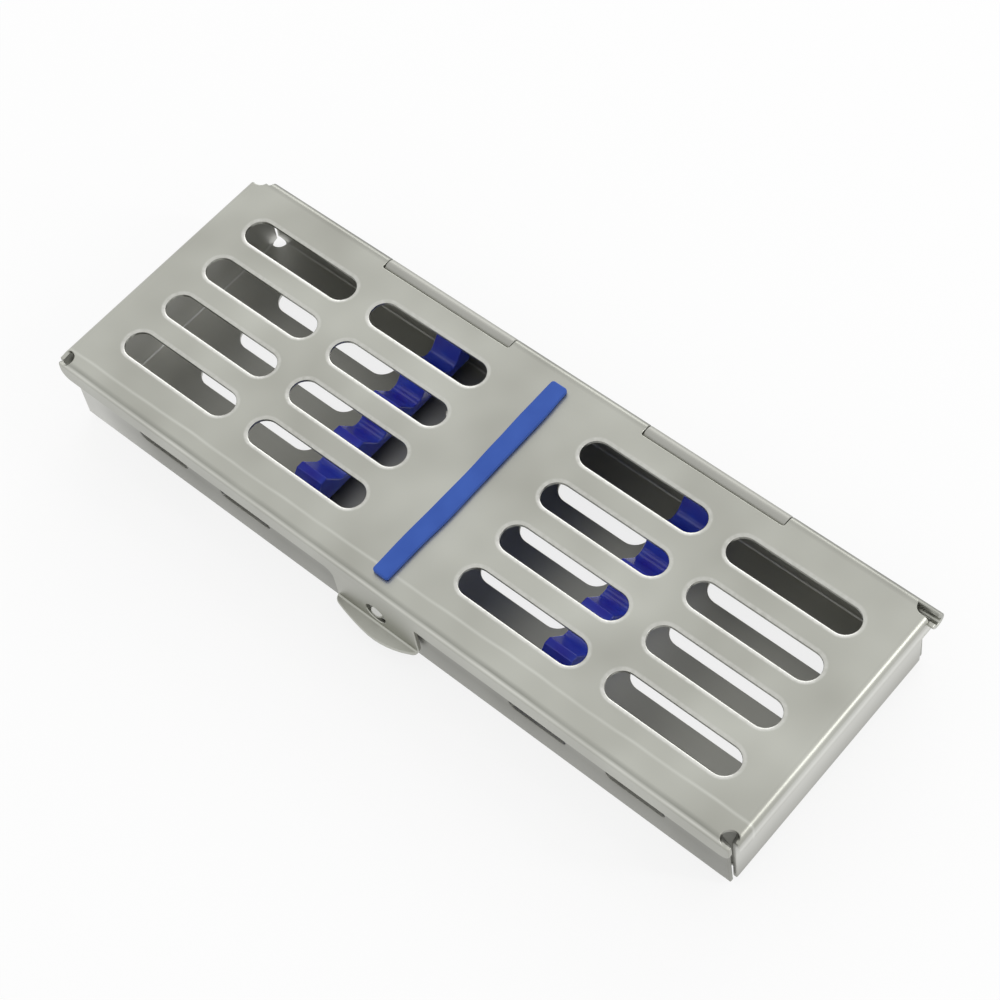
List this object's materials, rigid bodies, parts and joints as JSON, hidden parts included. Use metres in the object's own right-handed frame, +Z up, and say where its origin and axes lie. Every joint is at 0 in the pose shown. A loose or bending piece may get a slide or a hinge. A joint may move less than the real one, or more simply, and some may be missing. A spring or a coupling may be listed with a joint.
{
  "type": "dental instrument cassette",
  "caption": "Slotted folded-steel sterilising cassette with a hinged lid, a spring latch tab, notched silicone instrument racks and a silicone hold-down bar through the lid.",
  "frame": {"origin": "middle of the tray's underside, between the floor slots", "axes": "+X along the length to the right, +Y from the latch side to the hinge side, +Z up from the surface it rests on"},
  "size_m": [0.1813, 0.0668, 0.0223],
  "materials": {
    "lid_steel": "satin",
    "tray_steel": "satin",
    "pin_steel": "drawn wire",
    "bracket_steel": "satin",
    "bar_silicone": "matte royal blue",
    "rack_silicone": "matte deep blue"
  },
  "bodies": {
    "tray": {"tray_pan": "tray_steel", "catch_stud": "tray_steel", "hinge_pin": "pin_steel", "left_rack_bracket": "bracket_steel", "right_rack_bracket": "bracket_steel", "left_rack": "rack_silicone", "right_rack": "rack_silicone"},
    "lid": {"lid_panel": "lid_steel", "hold_down_bar": "bar_silicone"},
    "latch": {"latch_tab": "lid_steel"}
  },
  "joints": [
    {"name": "lid_hinge", "type": "hinge", "parent": "tray", "child": "lid", "pos_m": [0.0031, 0.0294, 0.0192], "axis": [-1, 0, 0], "range_deg": [0, 180]},
    {"name": "latch_flex", "type": "hinge", "parent": "lid", "child": "latch", "pos_m": [0.0005, -0.0316, 0.0152], "axis": [-1, 0, 0], "range_deg": [0, 15], "stiffness_Nm_per_rad": 0.15}
  ]
}
